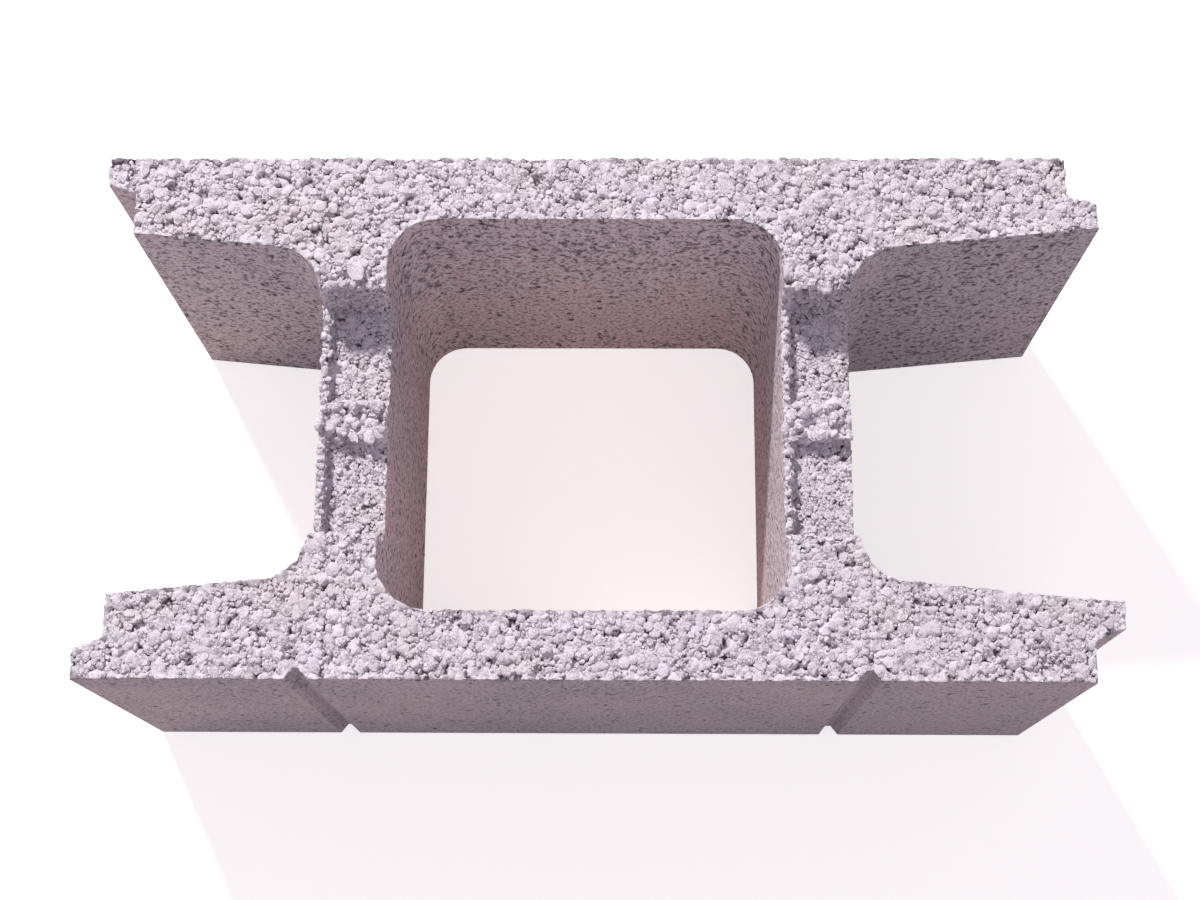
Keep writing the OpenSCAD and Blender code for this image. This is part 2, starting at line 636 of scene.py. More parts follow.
# Grains


@dataclass(frozen=True)
class Grade:
    """Grains of one size range: radii and levels of their tops in millimetres, and how many there are."""

    least: float
    most: float
    per_cm2: float
    level: Pair


# Grains of each zone, the large ones first
GRADES: dict[Zone, tuple[Grade, ...]] = {
    Zone.BED: (
        Grade(2.5, 4.0, 2.2, (-0.6, 0.1)),
        Grade(1.7, 2.5, 7.0, (-0.9, 0.1)),
        Grade(1.2, 1.7, 22.0, (-1.2, -0.1)),
        Grade(0.8, 1.2, 60.0, (-1.6, -0.4)),
    ),
    Zone.SEAT: (
        Grade(1.5, 2.4, 1.5, (-0.3, 0.5)),
        Grade(1.0, 1.5, 22.0, (-0.4, 0.1)),
        Grade(0.7, 1.0, 90.0, (-0.45, -0.1)),
    ),
    Zone.RIB: (
        Grade(2.6, 4.4, 9.0, (-0.6, 2.4)),
        Grade(1.5, 2.6, 30.0, (-2.2, 1.0)),
        Grade(0.9, 1.5, 70.0, (-3.0, -0.5)),
    ),
    Zone.LIP: (
        Grade(1.5, 2.3, 40.0, (-0.3, 1.0)),
        Grade(0.8, 1.5, 90.0, (-1.0, 0.3)),
    ),
    Zone.END: (
        Grade(1.4, 2.6, 8.0, (-0.5, 0.3)),
        Grade(0.8, 1.4, 60.0, (-1.0, -0.1)),
    ),
}
# Height of a grain's flanks, as a share of its radius
DEPTH_SHARE: dict[Zone, float] = {
    Zone.BED: 1.2, Zone.SEAT: 0.7, Zone.RIB: 1.2, Zone.LIP: 0.9, Zone.END: 0.6,
}
# How far the casting lies under the tops of the grains that are modelled over it
GRAIN_RISE: dict[Zone, float] = {
    Zone.BED: 0.55, Zone.SEAT: 0.3, Zone.RIB: 0.5, Zone.LIP: 0.3, Zone.END: 0.0,
}
# Level of the paste between the grains
FLOOR_LEVEL: dict[Zone, float] = {
    Zone.BED: -3.2, Zone.SEAT: -0.9, Zone.RIB: -3.8, Zone.LIP: -1.2, Zone.END: -1.2,
}


class GrainField:
    """Packed grains over the tamped faces, read back as a relief at any spot on them."""

    CHIPS = 3
    TRIES = 2.2
    BATCH = 300
    DEEPEST = 2.6
    LEAST_SUNK = 1.4
    NO_GRAIN = -99.0
    # How far grains stray from where they are dropped, and how their shapes vary
    STRAY = 0.35
    WIDTH = 1.12
    STRETCH = (0.8, 1.25)
    SQUARENESS = (1.7, 4.5)
    TILT = 0.2
    CHIP_AT = (0.15, 0.8)
    CHIP_SLOPE = 0.7
    DOME = 4.5
    # Size and reach of the ripples that bend their outlines
    RIPPLES = ((2.2, 0.45), (1.0, 0.2))
    # Drop at which painted shade starts on a flank and in a low spot, the further drop to full shade, and its share
    FLANK = (0.4, 1.2, 0.7)
    LOW = (1.6, 2.0, 0.5)
    # Paleness of the paste between the grains, and how much painted shade it gets
    BARE_TINT = 0.3
    BARE_GAP = 0.95

    def __init__(self, seed: int, most: int = 20000) -> None:
        """Starts an empty field.

        Args:
            seed: Seed of every draw, and of the ripples, which would start from the clock without it.
            most: Room for this many grains.
        """
        self.rng = np.random.default_rng(seed)
        noise.seed_set(seed)
        self.count = 0
        self.centre = np.zeros((most, 3), np.float32)
        self.radius = np.zeros(most, np.float32)
        self.level = np.zeros(most, np.float32)
        self.depth = np.zeros(most, np.float32)

    def scatter(self, zone: Zone, spots: np.ndarray, area_cm2: float, overlap: float = 0.76) -> int:
        """Drops grains on a zone, the large ones first, where they fit between those that lie there.

        Args:
            zone: The zone.
            spots: Places in millimetres where a grain may land.
            area_cm2: Area of the zone.
            overlap: Share of two radii that their centres keep apart.

        Returns:
            How many grains the zone got.
        """
        before = self.count
        placed, tree = before, tree_of(())
        widest = max(grade.most for grade in GRADES[zone])
        for grade in GRADES[zone]:
            tries = int(grade.per_cm2 * area_cm2 * self.TRIES)
            picks = self.rng.integers(0, len(spots), tries)
            shifts = self.rng.normal(0, self.STRAY, (tries, 3))
            radii = self.rng.uniform(grade.least, grade.most, tries)
            levels = self.rng.uniform(*grade.level, tries)
            for spot, radius, level in zip(spots[picks] + shifts, radii, levels):
                n = self.count
                if n - placed > self.BATCH:
                    placed, tree = n, tree_of(self.centre[before:n], before)
                late = ((self.centre[placed:n] - spot) ** 2).sum(1)
                if (late < (overlap * (self.radius[placed:n] + radius)) ** 2).any():
                    continue
                close = tree.find_range(spot, overlap * (widest + radius))
                if any(away < overlap * (self.radius[i] + radius) for _, i, away in close):
                    continue
                self.centre[n], self.radius[n], self.level[n] = spot, radius, level
                self.depth[n] = min(self.DEEPEST, DEPTH_SHARE[zone] * radius)
                self.count += 1
        return self.count - before

    def settle(self, sunk_share: float) -> None:
        """Gives the grains their shapes and tilts, and leaves some out as pits.

        Args:
            sunk_share: Share of the grains that have fallen out.
        """
        n = self.count
        rng = self.rng
        turn = np.linalg.qr(rng.normal(0, 1, (n, 3, 3)))[0]
        stretch = 1 / (self.WIDTH * self.radius[:n, None] * rng.uniform(*self.STRETCH, (n, 3)))
        self.shape = (turn * stretch[:, :, None]).astype(np.float32)
        self.squareness = rng.uniform(*self.SQUARENESS, n).astype(np.float32)
        self.tilt = rng.normal(0, self.TILT, (n, 3)).astype(np.float32)
        chip = rng.normal(0, 1, (n, self.CHIPS, 3))
        self.chip = (chip / np.linalg.norm(chip, axis=2, keepdims=True)).astype(np.float32)
        chip_at = self.radius[:n, None] * rng.uniform(*self.CHIP_AT, (n, self.CHIPS))
        self.chip_at = chip_at.astype(np.float32)
        self.tint = rng.uniform(0, 1, n).astype(np.float32)
        sunk = (rng.uniform(0, 1, n) < sunk_share) & (self.radius[:n] > self.LEAST_SUNK)
        self.level[:n][sunk] -= self.DEEPEST
        self.tree = tree_of(self.centre[:n])

    def relief(
        self, spots: np.ndarray, floor: np.ndarray, near: int = 12
    ) -> tuple[np.ndarray, np.ndarray, np.ndarray]:
        """Reads the height of the grains over each spot.

        Args:
            spots: Places in millimetres.
            floor: Height of the paste between the grains at each spot.
            near: How many of the nearest grains are read.

        Returns:
            Heights in millimetres, the paleness of the grain that shows there, and how far the spot is down a
            gap, from 0 to 1, which sets how much painted shade it gets.
        """
        spots = sum((self.ripple(spots, size, reach) for size, reach in self.RIPPLES), spots)
        found = np.array([[i for _, i, _ in self.tree.find_n(p, near)] for p in spots])
        off = (spots[:, None, :] - self.centre[found]).astype(np.float32)
        local = np.abs(np.einsum("nkij,nkj->nki", self.shape[found], off))
        power = self.squareness[found]
        away = (local ** power[:, :, None]).sum(2) ** (1 / power)
        dome = np.sqrt(np.clip(1 - away ** self.DOME, 0, None)) - 1
        height = self.level[found] + self.depth[found] * dome + (self.tilt[found] * off).sum(2)
        for k in range(self.CHIPS):
            past = (self.chip[found, k] * off).sum(2) - self.chip_at[found, k]
            height -= self.CHIP_SLOPE * np.clip(past, 0, None)
        height = np.where(away < 1, height, self.NO_GRAIN)
        best = height.argmax(1)
        rows = np.arange(len(spots))
        top = height[rows, best]
        bare = top < floor
        shown = found[rows, best]
        tint = np.where(bare, self.BARE_TINT, self.tint[shown])
        top = np.where(bare, floor, top)
        # Painted shade: a spot darkens as it drops down its grain's flank and as it lies low
        (flank_at, flank_over, flank_share), (low_at, low_over, low_share) = self.FLANK, self.LOW
        flank = np.clip((self.level[shown] - top - flank_at) / flank_over, 0, 1)
        low = np.clip((-top - low_at) / low_over, 0, 1)
        depth = np.clip(flank_share * flank + low_share * low, 0, 1)
        return top, tint, np.where(bare, self.BARE_GAP, depth)

    @staticmethod
    def ripple(spots: np.ndarray, size: float, reach: float) -> np.ndarray:
        """Gives smooth shifts that bend the grains' outlines.

        Args:
            spots: Places in millimetres.
            size: Size of one ripple in millimetres.
            reach: Largest shift in millimetres.

        Returns:
            One shift for each spot.
        """
        return reach * np.array([noise.noise_vector(Vector(p)) for p in spots / size], np.float32)


# The casting


@dataclass
class Casting:
    """The whole block as one closed piece: mould faces as the solid has them, and a granular top."""

    name: str = "block_casting"
    weld: float = 0.01
    flat_deg: float = 0.05
    cell: float = 2.8
    cell_weld: float = 0.2
    cuts: int = 2
    saddle_reach: float = 78.0
    map_deg: float = 60.0
    map_margin: float = 0.003
    seed: int = 41
    fade: float = 3.6
    inland_from: float = 1.0
    inland_over: float = 2.0
    frets: int = 260
    fret_reach: Pair = (1.4, 4.2)
    fret_depth: Pair = (0.5, 1.9)
    end_frets: int = 9
    end_reach: Pair = (2.5, 6.0)
    end_depth: Pair = (0.8, 3.2)
    # Each hollow before the flat stone: its place from the stone's in plan, its reach and its depth
    stone_hollows: tuple[tuple[float, float, float, float], ...] = ((0, -5, 9.0, 3.2), (1, -8, 8.0, 5.0))
    sunk_share: float = 0.08
    roughness: float = 0.07
    # How many times rougher the paste between the grains is
    floor_roughness: float = 6.0
    pores: int = 900
    pore_tries: int = 6
    pore_least: float = 0.8
    pore_growth: float = 1.5
    pores_apart: float = 7.0
    pore_rim: float = 1.5
    pore_stretch: Pair = (0.8, 1.25)
    pore_flatness: float = 0.9
    pore_roughness: float = 0.1
    pore_margins: Pair = (4.0, 9.0)
    saddle_clear: Pair = (76.0, 12.0)
    sharp_deg: float = 20.0
    rim_marks: int = 20
    pore_columns: int = 60
    pore_strip: float = 0.04
    pore_strip_used: float = 0.9
    pore_map_reach: float = 0.3
    least_edge: float = 0.001
    smooth_deg: float = 40.0
    piece: bpy.types.Object = field(init=False)
    ground: np.ndarray = field(init=False)
    rim: np.ndarray = field(init=False)
    grains: GrainField = field(init=False)
    tamped_faces: list[int] = field(init=False, default_factory=list)

    def build(self) -> bpy.types.Object:
        """Models the casting and dresses it.

        Returns:
            The finished piece.
        """
        self.copy_solid()
        self.cut_top()
        self.lay_map()
        self.prick()
        self.tamp()
        self.dress()
        return self.piece

    def copy_solid(self) -> None:
        """Copies the solid as loaded and joins its loose triangles to whole faces."""
        solid = frame["nodes"]["block"]
        make_active(solid)
        bpy.ops.object.duplicate()
        self.piece = bpy.context.view_layer.objects.active
        self.piece.name = self.name
        self.piece.data.name = self.name
        for key in [k for k in self.piece.keys() if k.startswith("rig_")]:
            del self.piece[key]
        self.piece.parent = None
        while self.piece.data.uv_layers:
            self.piece.data.uv_layers.remove(self.piece.data.uv_layers[0])
        bpy.ops.object.mode_set(mode="EDIT")
        bpy.ops.mesh.customdata_custom_splitnormals_clear()
        bpy.ops.mesh.select_mode(type="FACE")
        bpy.ops.mesh.select_all(action="SELECT")
        bpy.ops.mesh.remove_doubles(threshold=self.weld * MM)
        bpy.ops.mesh.dissolve_limited(angle_limit=math.radians(self.flat_deg))
        bpy.ops.object.mode_set(mode="OBJECT")

    def pick(self, wanted: Callable[[Vector, Vector], bool]) -> None:
        """Selects the shown faces for which wanted(centre in mm, normal) holds.

        Args:
            wanted: Test of one face.
        """
        mesh = bmesh.from_edit_mesh(self.piece.data)
        bpy.ops.mesh.select_all(action="DESELECT")
        for face in mesh.faces:
            if not face.hide and wanted(face.calc_center_median() / MM, face.normal):
                face.select_set(True)
        bmesh.update_edit_mesh(self.piece.data, loop_triangles=False, destructive=False)

    def slice(self, axis: int, places: Iterable[float]) -> None:
        """Cuts every shown face along planes square to one axis.

        Args:
            axis: 0, 1 or 2 for X, Y or Z.
            places: Places of the planes in millimetres.
        """
        normal = Vector((0.0, 0.0, 0.0))
        normal[axis] = 1.0
        for place in places:
            bpy.ops.mesh.select_all(action="SELECT")
            bpy.ops.mesh.bisect(plane_co=normal * place * MM, plane_no=normal)

    def cut_top(self) -> None:
        """Cuts the tamped faces and a strip of the walls under them into fine cells."""
        low, high = (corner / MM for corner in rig.box("block"))
        bpy.ops.object.mode_set(mode="EDIT")
        bpy.ops.mesh.reveal()
        band_z = PLACES.top_z - PLACES.band
        self.slice(2, [band_z])
        self.pick(lambda c, n: abs(c.y) < self.saddle_reach and abs(n.z) < PLACES.steep and c.z < band_z)
        bpy.ops.mesh.hide(unselected=True)
        self.slice(2, [PLACES.seat_z - PLACES.band, PLACES.rib_z - PLACES.band])
        bpy.ops.mesh.reveal()
        self.pick(lambda c, n: PLACES.is_tamped(c, n.z) or PLACES.is_band(c, n.z))
        bpy.ops.mesh.hide(unselected=True)
        for axis in (0, 1):
            first = low[axis] + self.cell / 2
            self.slice(axis, np.arange(first, high[axis], self.cell).tolist())
        self.pick(lambda c, n: abs(n.z) <= PLACES.steep and c.z < band_z)
        bpy.ops.mesh.hide(unselected=True)
        self.slice(2, np.arange(PLACES.seat_z, band_z, self.cell).tolist()[1:])
        bpy.ops.mesh.reveal()
        self.pick(lambda c, n: PLACES.is_tamped(c, n.z) or PLACES.is_band(c, n.z))
        bpy.ops.mesh.remove_doubles(threshold=self.cell_weld * MM)
        bpy.ops.mesh.hide(unselected=True)
        self.split_many_sided()
        self.pick(lambda c, n: PLACES.is_tamped(c, n.z))
        bpy.ops.mesh.subdivide(number_cuts=self.cuts)
        self.split_many_sided()
        bpy.ops.mesh.reveal()
        bpy.ops.object.mode_set(mode="OBJECT")

    @staticmethod
    def split_many_sided() -> None:
        """Splits the shown faces that have more than four sides."""
        bpy.ops.mesh.select_all(action="DESELECT")
        bpy.ops.mesh.select_face_by_sides(number=4, type="GREATER")
        bpy.ops.mesh.quads_convert_to_tris()

    def lay_map(self) -> None:
        """Lays the piece's own map while its faces are still flat, so that the top stays whole on it."""
        bpy.ops.object.mode_set(mode="EDIT")
        bpy.ops.mesh.select_all(action="SELECT")
        self.piece.data.uv_layers.new(name="OFBake")
        bpy.ops.uv.smart_project(angle_limit=math.radians(self.map_deg), island_margin=self.map_margin)
        bpy.ops.object.mode_set(mode="OBJECT")
        layer = self.piece.data.uv_layers["OFBake"].uv
        spots = np.empty(len(layer) * 2, np.float32)
        layer.foreach_get("vector", spots)
        spots[1::2] = self.pore_strip + (1 - self.pore_strip) * spots[1::2]
        layer.foreach_set("vector", spots)

    def prick(self) -> None:
        """Cuts the larger air pores into the mould faces, with one mesh of small rough balls."""
        rng = np.random.default_rng(self.seed + 1)
        bpy.ops.object.select_all(action="DESELECT")
        bpy.ops.mesh.primitive_ico_sphere_add(subdivisions=1, radius=1.0)
        corners, faces = take_active()
        columns, rows = self.pore_columns, math.ceil(self.pores / self.pore_columns)
        cuts, maps = [], []
        for n, (spot, normal, radius) in enumerate(self.pore_spots(rng)):
            turn = Vector(normal).to_track_quat("Z", "Y").to_matrix()
            size = radius * rng.uniform(*self.pore_stretch, 3) * (1, 1, self.pore_flatness)
            spin = Matrix.Rotation(rng.uniform(0, math.pi), 3, Vector(rng.normal(0, 1, 3)))
            rough = corners @ np.array(spin) + rng.normal(0, self.pore_roughness, corners.shape)
            rough = rough * size
            cuts.append(rough @ np.array(turn.transposed()) + spot)
            cell = np.array((n % columns, n // columns)) + 0.5 + self.pore_map_reach * rough[:, :2] / radius
            maps.append(cell / (columns, rows) * (1, self.pore_strip_used * self.pore_strip))
        every = np.concatenate([faces + len(corners) * n for n in range(len(cuts))])
        balls = new_object("pore_balls", np.concatenate(cuts), every)
        places = np.concatenate(maps)[every.ravel()].astype(np.float32)
        balls.data.uv_layers.new(name="OFBake").uv.foreach_set("vector", places.ravel())

        make_active(self.piece)
        cut = self.piece.modifiers.new("pores", "BOOLEAN")
        cut.operation = "DIFFERENCE"
        cut.solver = "MANIFOLD"
        cut.object = balls
        bpy.ops.object.modifier_apply(modifier=cut.name)
        bpy.data.objects.remove(balls)
        bpy.ops.object.mode_set(mode="EDIT")
        bpy.ops.mesh.select_all(action="SELECT")
        bpy.ops.mesh.dissolve_degenerate(threshold=self.least_edge * MM)
        bpy.ops.object.mode_set(mode="OBJECT")
        log.info("%d pores cut", len(cuts))

    def pore_spots(self, rng: np.random.Generator) -> list[tuple[np.ndarray, np.ndarray, float]]:
        """Chooses where the cut pores lie on the mould faces, clear of each other and of the edges.

        Args:
            rng: Source of the draws.

        Returns:
            Place in millimetres, normal and radius of each pore.
        """
        mesh = self.piece.data
        mesh.calc_loop_triangles()
        sharp: set[tuple[int, int]] = set()
        sides: dict[tuple[int, int], Vector] = {}
        for face in mesh.polygons:
            for key in face.edge_keys:
                if key in sides and sides[key].angle(face.normal) > math.radians(self.sharp_deg):
                    sharp.add(key)
                sides[key] = face.normal
        shares = np.linspace(0, 1, self.rim_marks)
        ends = [(mesh.vertices[a].co, mesh.vertices[b].co) for a, b in sharp]
        rims = tree_of(start.lerp(end, share) / MM for start, end in ends for share in shares)
        walls = [t for t in mesh.loop_triangles if abs(t.normal.z) < PLACES.steep]
        foot, head = self.pore_margins
        clear_y, clear_z = self.saddle_clear
        areas = np.array([t.area for t in walls])
        taken: list[tuple[np.ndarray, np.ndarray, float]] = []
        middles = np.zeros((0, 3))
        for t in rng.choice(len(walls), self.pore_tries * self.pores, p=areas / areas.sum()):
            a, b, c = (np.array(mesh.vertices[i].co) / MM for i in walls[t].vertices)
            u, v = np.sort(rng.uniform(0, 1, 2))
            spot = a + u * (b - a) + (1 - v) * (c - a)
            radius = self.pore_least + self.pore_growth * rng.uniform(0, 1) ** 2
            if abs(spot[1]) < clear_y and spot[2] > PLACES.seat_z - clear_z:
                continue
            if not foot < spot[2] < PLACES.top_z - head or rims.find(spot)[2] < 2 * radius + self.pore_rim:
                continue
            if len(taken) and (np.linalg.norm(middles - spot, axis=1) < self.pores_apart).any():
                continue
            taken.append((spot, np.array(walls[t].normal), radius))
            middles = np.vstack((middles, spot))
            if len(taken) == self.pores:
                break
        return taken

    def tamp(self) -> None:
        """Raises the grains on the tamped faces and frets the arrises beside them."""
        mesh = self.piece.data
        count = len(mesh.vertices)
        spots = np.empty(count * 3, np.float32)
        mesh.vertices.foreach_get("co", spots)
        spots = spots.reshape(-1, 3) / MM
        normals = np.empty(count * 3, np.float32)
        mesh.vertices.foreach_get("normal", normals)
        normals = normals.reshape(-1, 3)

        # Sort the faces, and the corners of the tamped ones, by zone.
        zone_of: dict[int, Zone] = {}
        areas = {zone: 0.0 for zone in Zone}
        walls: set[int] = set()
        for face in mesh.polygons:
            centre = face.center / MM
            if PLACES.is_tamped(centre, face.normal.z):
                zone = PLACES.zone(centre, face.normal.z)
                areas[zone] += face.area / MM ** 2 / 100
                if zone is not Zone.END:
                    self.tamped_faces.append(face.index)
                for corner in face.vertices:
                    zone_of.setdefault(corner, zone)
            else:
                walls.update(face.vertices)
        tamped = np.array(sorted(zone_of))
        self.rim = spots[sorted(walls & set(zone_of))]
        zones = [zone_of[i] for i in tamped]

        self.grains = grains = GrainField(self.seed)
        for zone in Zone:
            mine = np.array([i for i, z in zip(tamped, zones) if z is zone])
            got = grains.scatter(zone, spots[mine], areas[zone])
            log.info("%s: %d grains on %.1f cm2", zone.value, got, areas[zone])
        grains.settle(self.sunk_share)

        # Walls close under a tamped edge take part of the relief, so that the arris frets.
        edge = tree_of(spots[tamped])
        share = np.zeros(count, np.float32)
        share[tamped] = 1
        floor = np.full(count, FLOOR_LEVEL[Zone.BED], np.float32)
        floor[tamped] = [FLOOR_LEVEL[z] for z in zones]
        lowest = PLACES.seat_z - PLACES.band - PLACES.band_near
        for i in np.flatnonzero((share == 0) & (spots[:, 2] > lowest)):
            _, nearest, away = edge.find(spots[i])
            if away < self.fade:
                share[i] = 1 - away / self.fade
                floor[i] = FLOOR_LEVEL[zones[nearest]]
        moved = np.flatnonzero(share > 0)
        rough = grains.rng.normal(0, self.roughness, len(moved))
        height, tint, depth = grains.relief(spots[moved], floor[moved] + self.floor_roughness * rough)
        height = height + rough
        moved_zones = [zone_of.get(i, Zone.BED) for i in moved]
        height = np.where([zone is Zone.BED for zone in moved_zones], np.minimum(height, 0.0), height)
        height -= np.array([GRAIN_RISE[zone] for zone in moved_zones]) * self.inland(spots[moved])
        height -= self.fret(grains.rng, spots[moved])
        spots[moved] += normals[moved] * (height * share[moved])[:, None]
        np.clip(spots[:, 2], 0.0, PLACES.top_z, out=spots[:, 2])
        mesh.vertices.foreach_set("co", (spots * MM).ravel())
        mesh.update()

        self.ground = spots[tamped]
        # Gap values set the painted shade down the gaps; the values in shade are each grain's own paleness, not light
        # or shade.
        gap = np.zeros(count, np.float32)
        gap[moved] = depth
        shade = np.full(count, 0.5, np.float32)
        shade[moved] = tint
        write_values(mesh, gap=gap, tint=shade)

    def inland(self, spots: np.ndarray) -> np.ndarray:
        """Tells how far spots are from the arrises: 0 at them, 1 from three millimetres on."""
        rims = tree_of(self.rim)
        return np.clip([(rims.find(spot)[2] - self.inland_from) / self.inland_over for spot in spots], 0, 1)

    def fret(self, rng: np.random.Generator, spots: np.ndarray) -> np.ndarray:
        """Knocks small bites out of the arrises and sinks the bed before the flat stone.

        Args:
            rng: Source of the draws.
            spots: Places in millimetres.

        Returns:
            How far each spot is sunk.
        """
        tree = tree_of(spots)
        stone_x, stone_y = PLACES.flat_stone
        # Each bite is its middle, its reach and its depth.
        bites = [
            ((stone_x + x, stone_y + y, PLACES.top_z), reach, depth)
            for x, y, reach, depth in self.stone_hollows
        ]
        for i in rng.integers(0, len(self.rim), self.frets):
            bites.append((self.rim[i], rng.uniform(*self.fret_reach), rng.uniform(*self.fret_depth)))
        for left, right in PLACES.webs_x:
            for y in (-PLACES.saddle_y, PLACES.saddle_y):
                for x in rng.uniform(left, right, self.end_frets):
                    middle = (x, y, PLACES.top_z)
                    bites.append((middle, rng.uniform(*self.end_reach), rng.uniform(*self.end_depth)))
        sunk = np.zeros(len(spots), np.float32)
        for middle, reach, depth in bites:
            for _, i, away in tree.find_range(middle, reach):
                sunk[i] = max(sunk[i], depth * (1 - (away / reach) ** 2))
        return sunk

    def dress(self) -> None:
        """Gives the tamped faces and the mould faces their finishes."""
        mesh = self.piece.data
        # One concrete in three copies: the outer faces darker as painted shade, the cavity paler and warmer as painted
        # bounce light, and the bays between.
        finishes = (MouldFace(), TampedBed(), OUTER_FACE_PAINTED_SHADE, CAVITY_FACE_PAINTED_LIGHT)
        bay, bed, outer, cavity = range(len(finishes))
        mesh.materials.clear()
        for finish in finishes:
            mesh.materials.append(finish.build())
        slots = np.full(len(mesh.polygons), bay, np.int32)
        for face in mesh.polygons:
            if abs(face.center.y / MM) > PLACES.outer_y:
                slots[face.index] = outer
            elif PLACES.is_cavity(face.center / MM):
                slots[face.index] = cavity
        slots[self.tamped_faces] = bed
        mesh.polygons.foreach_set("material_index", slots)
        hand_in(self.piece, self.smooth_deg)
        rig.replaces(self.piece, "block")


# Modelled grains


@dataclass(frozen=True)
class Grain:
    """One grain: its place in plan and half sizes in millimetres, and its top and paleness where set."""

    x: float
    y: float
    half: tuple[float, float, float]
    # Share of its height that tamping left above its middle
    tamped: float = 1.0
    top: float | None = None
    tint: float | None = None


@dataclass
class Grains:
    """Closed crushed grains, each shaped from a ball, and all joined to one piece."""

    ground: np.ndarray
    rim: np.ndarray
    name: str = "grains"
    seed: int = 7
    sink: float = 0.35
    under_top: float = 0.02
    little: float = 1.6
    # Painted shade on the lower sides of each grain: its most, and the drop, as a share of the grain's height, from
    # which it starts and over which it grows
    gap_share: float = 0.95
    gap_from: float = 0.33
    gap_over: float = 0.36
    # Faces round a ball and from pole to pole, for large grains and for little ones
    balls: tuple[tuple[int, int], tuple[int, int]] = ((7, 5), (6, 4))
    paleness: Pair = (0.2, 1.0)
    chips: int = 6
    chip_at: Pair = (0.5, 0.85)
    roughness: float = 0.035
    flattening: float = 0.9
    lean: float = 0.16
    smooth_deg: float = 36.0
    rng: np.random.Generator = field(init=False)
    below: KDTree = field(init=False)
    edge: KDTree = field(init=False)
    piece: bpy.types.Object = field(init=False)

    def build(self) -> bpy.types.Object:
        """Models the grains and dresses them.

        Returns:
            The finished piece.
        """
        self.rng = np.random.default_rng(self.seed)
        self.below, self.edge = (
            tree_of((x, y, 0.0) for x, y, _ in spots) for spots in (self.ground, self.rim)
        )
        large_ball, little_ball = [self.pattern(*ball) for ball in self.balls]
        corners, faces, tints, gaps = [], [], [], []
        count = 0
        for one in self.plan():
            ball, sides = little_ball if max(one.half) < self.little else large_ball
            grain = self.shape(ball, one.half, one.tamped)
            peak = grain[:, 2].max()
            if one.top is None:
                rest = self.floor_under(one.x, one.y) + one.half[2] * (1 - 2 * self.sink)
                rise = min(rest, PLACES.top_z - self.under_top - peak)
            else:
                rise = one.top - peak
            drop = (peak - grain[:, 2]) / (2 * one.half[2])
            grain = grain + (one.x, one.y, rise)
            if (np.abs(grain[:, :2]) > PLACES.half_plan).any():
                continue
            corners.append(grain)
            faces.append(sides + count)
            tint = self.rng.uniform(*self.paleness) if one.tint is None else one.tint
            tints.append(np.full(len(ball), tint))
            # Painted shade on the grain's lower sides
            gaps.append(self.gap_share * np.clip((drop - self.gap_from) / self.gap_over, 0, 1))
            count += len(ball)
        self.join(*(np.concatenate(rows) for rows in (corners, faces, tints, gaps)))
        return self.piece

    def plan(self) -> list[Grain]:
        """Chooses where the grains lie and how large they are.

        Returns:
            The grains to model.
        """
        raise NotImplementedError

    def floor_under(self, x: float, y: float) -> float:
        """Reads the height of the casting under a place in plan."""
        return self.ground[self.below.find((x, y, 0.0))[1], 2]

    @staticmethod
    def pattern(segments: int, rings: int) -> tuple[np.ndarray, np.ndarray]:
        """Makes the ball that grains start from.

        Args:
            segments: Faces round the ball.
            rings: Faces from pole to pole.

        Returns:
            Its corners, and its faces as rows of three corners.
        """
        bpy.ops.object.select_all(action="DESELECT")
        bpy.ops.mesh.primitive_uv_sphere_add(segments=segments, ring_count=rings, radius=1.0)
        bpy.ops.object.mode_set(mode="EDIT")
        bpy.ops.mesh.quads_convert_to_tris()
        bpy.ops.object.mode_set(mode="OBJECT")
        return take_active()

    def shape(self, corners: np.ndarray, half: tuple[float, float, float], tamped: float) -> np.ndarray:
        """Turns the ball to one crushed grain: chipped flat on a few sides, stretched and turned.

        Args:
            corners: Corners of the ball.
            half: Half sizes in millimetres.
            tamped: Share of the height that is left above the middle.

        Returns:
            The grain's corners about its middle.
        """
        spin = Matrix.Rotation(self.rng.uniform(0, math.pi), 3, Vector(self.rng.normal(0, 1, 3)))
        grain = corners @ np.array(spin)
        for _ in range(self.chips):
            way = self.rng.normal(0, 1, 3)
            way /= np.linalg.norm(way)
            past = np.clip(grain @ way - self.rng.uniform(*self.chip_at), 0, None)
            grain -= past[:, None] * way
        grain += self.rng.normal(0, self.roughness, grain.shape)
        over = np.clip(grain[:, 2] - tamped, 0, None)
        grain[:, 2] -= self.flattening * over
        grain *= half
        turn = self.rng.uniform(0, 2 * math.pi)
        lean = Matrix.Rotation(self.rng.normal(0, self.lean), 3, "X") @ Matrix.Rotation(turn, 3, "Z")
        return grain @ np.array(lean)

    def join(self, corners: np.ndarray, faces: np.ndarray, tints: np.ndarray, gaps: np.ndarray) -> None:
        """Joins the grains to one piece and dresses it.

        Args:
            corners: Corners of all grains in millimetres.
            faces: Faces as rows of three corners.
            tints: Paleness at each corner.
            gaps: How far down a gap each corner is, which sets how much painted shade it gets.
        """
        self.piece = new_object(self.name, corners, faces)
        write_values(self.piece.data, tint=tints, gap=gaps)
        self.piece.data.materials.append(bpy.data.materials[TampedBed.name])
        hand_in(self.piece, self.smooth_deg)


